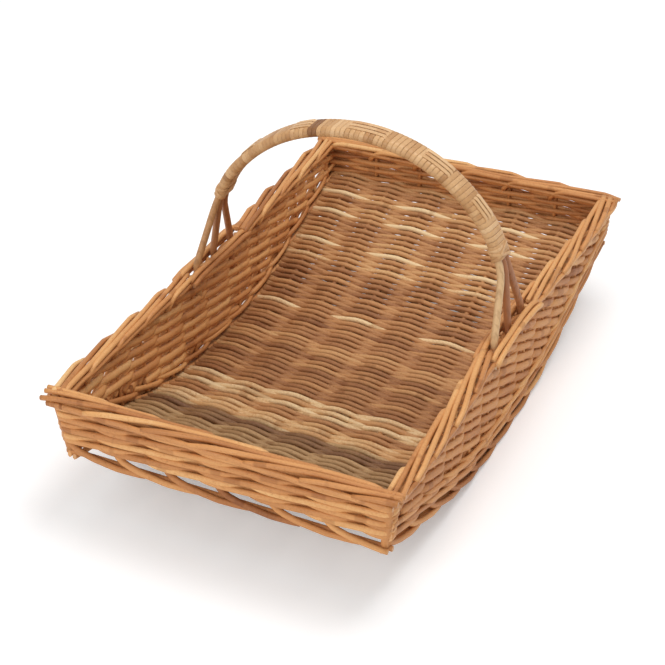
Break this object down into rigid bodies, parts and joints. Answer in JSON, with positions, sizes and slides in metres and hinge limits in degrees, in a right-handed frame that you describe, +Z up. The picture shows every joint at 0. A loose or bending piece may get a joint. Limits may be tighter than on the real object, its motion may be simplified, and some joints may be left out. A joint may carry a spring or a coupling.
{
  "type": "trug garden basket",
  "caption": "Shallow rectangular willow trug with a bowed base, low woven walls, laid rod borders and a lapped bow handle on splayed legs.",
  "frame": {"origin": "on the ground under the middle of the tray", "axes": "+X across the trug, along the handle's span; +Y along the tray, towards its back end; +Z up"},
  "size_m": [0.4, 0.65, 0.3381],
  "materials": {
    "floor_willow": "satin, mixed pale and brown rods",
    "base_stick": "satin",
    "wall_willow": "satin, boiled willow rods",
    "stake": "satin",
    "corner_post": "satin",
    "foot_willow": "satin",
    "wale_willow": "satin",
    "border_willow": "satin",
    "handle_rod": "smooth satin bark",
    "handle_cane": "semi-gloss split cane",
    "leader_cane": "semi-gloss split cane"
  },
  "bodies": {
    "root": {"base_weave_front": "floor_willow", "base_weave_middle": "floor_willow", "base_weave_back": "floor_willow", "base_stick_1": "base_stick", "base_stick_2": "base_stick", "base_stick_3": "base_stick", "base_stick_4": "base_stick", "base_stick_5": "base_stick", "base_stick_6": "base_stick", "right_weave": "wall_willow", "left_weave": "wall_willow", "back_weave": "wall_willow", "front_weave": "wall_willow", "right_stakes": "stake", "left_stakes": "stake", "back_stakes": "stake", "front_stakes": "stake", "corner_post_back_right": "corner_post", "corner_post_back_left": "corner_post", "corner_post_front_right": "corner_post", "corner_post_front_left": "corner_post", "right_foot_border": "foot_willow", "left_foot_border": "foot_willow", "back_foot_border": "foot_willow", "front_foot_border": "foot_willow", "right_top_wale": "wale_willow", "left_top_wale": "wale_willow", "back_top_wale": "wale_willow", "front_top_wale": "wale_willow", "right_border_rods": "border_willow", "left_border_rods": "border_willow", "back_border_rods": "border_willow", "front_border_rods": "border_willow", "right_handle_zone_rods": "border_willow", "left_handle_zone_rods": "border_willow", "handle_front_rod": "handle_rod", "handle_middle_rod": "handle_rod", "handle_rear_rod": "handle_rod", "handle_lapping": "handle_cane", "handle_binding_right": "handle_cane", "handle_binding_left": "handle_cane", "handle_leader_front": "leader_cane", "handle_leader_middle": "leader_cane", "handle_leader_rear": "leader_cane"}
  },
  "joints": []
}
